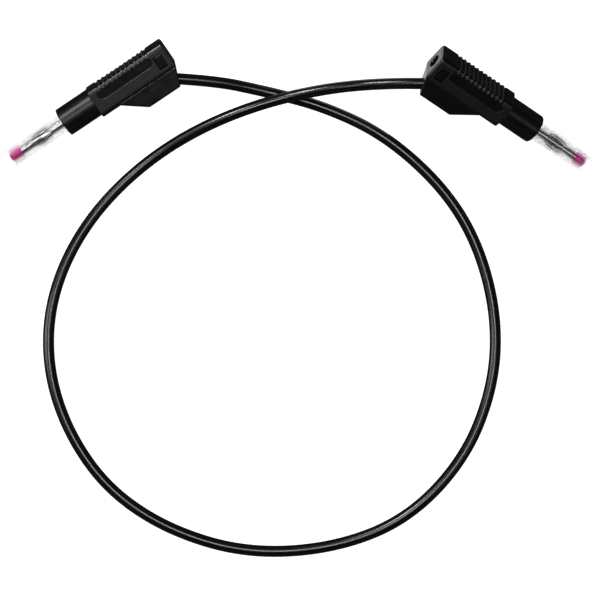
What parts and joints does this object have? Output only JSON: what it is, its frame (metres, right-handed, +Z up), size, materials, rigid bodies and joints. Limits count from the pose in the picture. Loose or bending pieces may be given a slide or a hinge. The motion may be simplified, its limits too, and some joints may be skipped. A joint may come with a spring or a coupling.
{
  "type": "stackable test lead",
  "caption": "Flexible patch lead: a cord loop ending in stackable spring-pin plugs, each with a clear sleeve that slides back and a socket in its rear face.",
  "frame": {"origin": "centre of the plugs' footprint, on the surface the lead lies on", "axes": "+X from the left plug to the right plug, +Y away from the cord's loop, +Z up"},
  "size_m": [0.2138, 0.1877, 0.0314],
  "materials": {
    "black_plastic": "fine moulded satin",
    "cord_jacket": "smooth semi-gloss soft PVC",
    "clear_plastic": "clear polished plastic",
    "magenta_plastic": "semi-gloss",
    "plated_brass": "bright nickel plate on brass",
    "plated_spring": "bright nickel plate on spring bronze",
    "spring_bronze": "satin",
    "spring_steel": "drawn wire",
    "copper_strands": "bare stranded copper",
    "relief_rubber": "matte"
  },
  "bodies": {
    "lead": {"left_handle": "black_plastic", "left_nose_barrel": "black_plastic", "left_cable_cover": "black_plastic", "left_rear_insert": "black_plastic", "left_contact_body": "plated_brass", "left_socket_spring": "spring_bronze", "left_pin_core": "plated_brass", "left_pin_tip": "magenta_plastic", "left_sleeve_spring": "spring_steel", "left_conductor": "copper_strands", "left_strain_relief": "relief_rubber", "right_handle": "black_plastic", "right_nose_barrel": "black_plastic", "right_cable_cover": "black_plastic", "right_rear_insert": "black_plastic", "right_contact_body": "plated_brass", "right_socket_spring": "spring_bronze", "right_pin_core": "plated_brass", "right_pin_tip": "magenta_plastic", "right_sleeve_spring": "spring_steel", "right_conductor": "copper_strands", "right_strain_relief": "relief_rubber", "cord": "cord_jacket"},
    "left_cage": {"left_lantern_cage": "plated_spring"},
    "left_sleeve": {"left_clear_sleeve": "clear_plastic"},
    "right_cage": {"right_lantern_cage": "plated_spring"},
    "right_sleeve": {"right_clear_sleeve": "clear_plastic"}
  },
  "joints": [
    {"name": "left_sleeve_slide", "type": "slide", "parent": "lead", "child": "left_sleeve", "axis": [0.8316, 0.5505, 0.0732], "range_m": [0, 0.02], "stiffness_N_per_m": 40, "springref_m": -0.02, "deforming": ["left_sleeve_spring"]},
    {"name": "left_cage_spin", "type": "hinge", "parent": "lead", "child": "left_cage", "pos_m": [-0.0999, -0.0152, 0.00425], "axis": [0.8316, 0.5505, 0.0732], "continuous": true},
    {"name": "right_sleeve_slide", "type": "slide", "parent": "lead", "child": "right_sleeve", "axis": [-0.803, 0.5096, 0.309], "range_m": [0, 0.02], "stiffness_N_per_m": 40, "springref_m": -0.02, "deforming": ["right_sleeve_spring"]},
    {"name": "right_cage_spin", "type": "hinge", "parent": "lead", "child": "right_cage", "pos_m": [0.09909, -0.01717, 0.00556], "axis": [-0.803, 0.5096, 0.309], "continuous": true}
  ]
}
